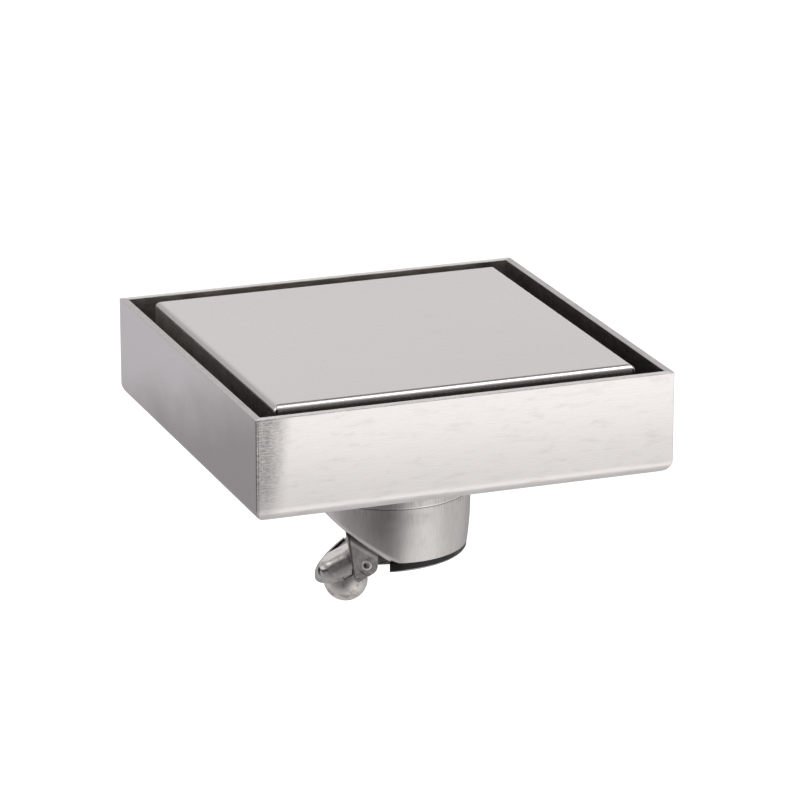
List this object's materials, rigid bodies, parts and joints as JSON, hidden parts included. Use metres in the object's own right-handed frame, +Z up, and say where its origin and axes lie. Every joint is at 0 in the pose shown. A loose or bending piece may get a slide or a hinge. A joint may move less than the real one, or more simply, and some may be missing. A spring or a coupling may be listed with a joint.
{
  "type": "floor drain",
  "caption": "Square stainless shower floor drain: folded tray, solid lift-off cover, round outlet, slant-cut cup and a weighted rubber-faced flap that shuts it.",
  "frame": {"origin": "on the outlet's axis, in the plane of the tray's underside", "axes": "+Z up; X along the tray's front side, Y towards its back"},
  "size_m": [0.11, 0.11, 0.0725],
  "materials": {
    "tray_steel": "satin, lengthwise brushed grain",
    "cover_steel": "satin, fine one-way brushed grain",
    "outlet_steel": "satin, turned",
    "cup_steel": "satin, drawn sheet",
    "weld_metal": "ground weld",
    "bracket_steel": "bright stamped sheet",
    "rivet_steel": "bright rolled metal",
    "washer_plastic": "plain pale plastic",
    "lever_steel": "bright stamped sheet",
    "saddle_steel": "bright pressed sheet",
    "seal_rubber": "matt black",
    "weight_steel": "dull, slightly mottled",
    "foot_steel": "plain turned rod",
    "pad_rubber": "matt black",
    "strainer_steel": "bright pressed sheet",
    "wire_steel": "bright drawn wire"
  },
  "bodies": {
    "root": {"drain_tray": "tray_steel", "outlet_stub": "outlet_steel", "outlet_weld": "weld_metal", "seam_weld": "weld_metal", "outlet_cup": "cup_steel", "hinge_bracket": "bracket_steel", "hinge_rivet_front": "rivet_steel", "hinge_rivet_back": "rivet_steel", "hinge_washer_front": "washer_plastic", "hinge_washer_back": "washer_plastic"},
    "cover": {"cover_plate": "cover_steel", "cover_foot_front_left": "foot_steel", "cover_foot_front_right": "foot_steel", "cover_foot_back_left": "foot_steel", "cover_foot_back_right": "foot_steel", "foot_pad_front_left": "pad_rubber", "foot_pad_front_right": "pad_rubber", "foot_pad_back_left": "pad_rubber", "foot_pad_back_right": "pad_rubber"},
    "strainer": {"hair_strainer": "strainer_steel", "strainer_handle": "wire_steel"},
    "flap": {"flap_lever": "lever_steel", "flap_seal": "seal_rubber", "seal_rivets": "rivet_steel", "counterweight": "weight_steel", "weight_saddle": "saddle_steel"}
  },
  "joints": [
    {"name": "cover_lift", "type": "slide", "parent": "root", "child": "cover", "axis": [0, 0, 1], "range_m": [0, 0.045]},
    {"name": "strainer_lift", "type": "slide", "parent": "root", "child": "strainer", "axis": [0, 0, 1], "range_m": [0, 0.013]},
    {"name": "flap_swing", "type": "hinge", "parent": "root", "child": "flap", "pos_m": [-0.00552, 0.00208, -0.02965], "axis": [0.3518, 0.9361, 0], "range_deg": [0, 55]}
  ]
}
